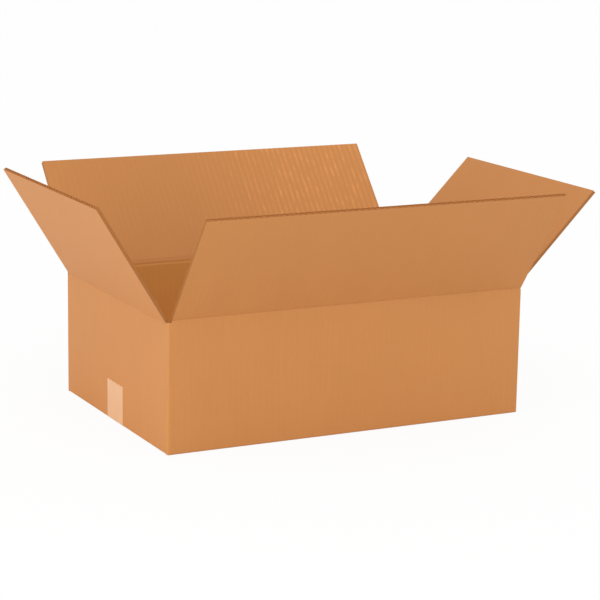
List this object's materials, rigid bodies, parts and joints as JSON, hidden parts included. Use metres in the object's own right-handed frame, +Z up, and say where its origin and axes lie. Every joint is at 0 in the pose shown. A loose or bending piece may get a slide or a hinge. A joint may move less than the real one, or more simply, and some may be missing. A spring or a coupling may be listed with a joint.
{
  "type": "open cardboard box",
  "caption": "Open slotted shipping carton of corrugated board, taped shut below, with hinged top flaps that stand open.",
  "frame": {"origin": "on the floor, under the middle of the base", "axes": "+X along the long walls, with the taped short wall that the picture shows at -X; +Y from the front wall to the back wall; +Z up"},
  "size_m": [0.6601, 0.5088, 0.289],
  "materials": {
    "kraft_board": "matte kraft liner",
    "kraft_paper": "matte kraft liner on corrugated board drawn with its open flutes",
    "packing_tape": "thin tan film, slightly glossy"
  },
  "bodies": {
    "carton": {"carton_body": "kraft_board", "bottom_tape": "packing_tape"},
    "front_flap": {"front_flap": "kraft_paper"},
    "back_flap": {"back_flap": "kraft_paper"},
    "left_flap": {"left_flap": "kraft_paper"},
    "right_flap": {"right_flap": "kraft_paper"}
  },
  "joints": [
    {"name": "front_flap_hinge", "type": "hinge", "parent": "carton", "child": "front_flap", "pos_m": [0, -0.1575, 0.15615], "axis": [1, 0, 0], "range_deg": [-125.5, 124.5]},
    {"name": "back_flap_hinge", "type": "hinge", "parent": "carton", "child": "back_flap", "pos_m": [0, 0.1575, 0.15615], "axis": [-1, 0, 0], "range_deg": [-131, 119]},
    {"name": "left_flap_hinge", "type": "hinge", "parent": "carton", "child": "left_flap", "pos_m": [-0.2325, 0, 0.15185], "axis": [0, -1, 0], "range_deg": [-121.7, 128.3]},
    {"name": "right_flap_hinge", "type": "hinge", "parent": "carton", "child": "right_flap", "pos_m": [0.2325, 0, 0.15185], "axis": [0, 1, 0], "range_deg": [-134.7, 115.3]}
  ]
}
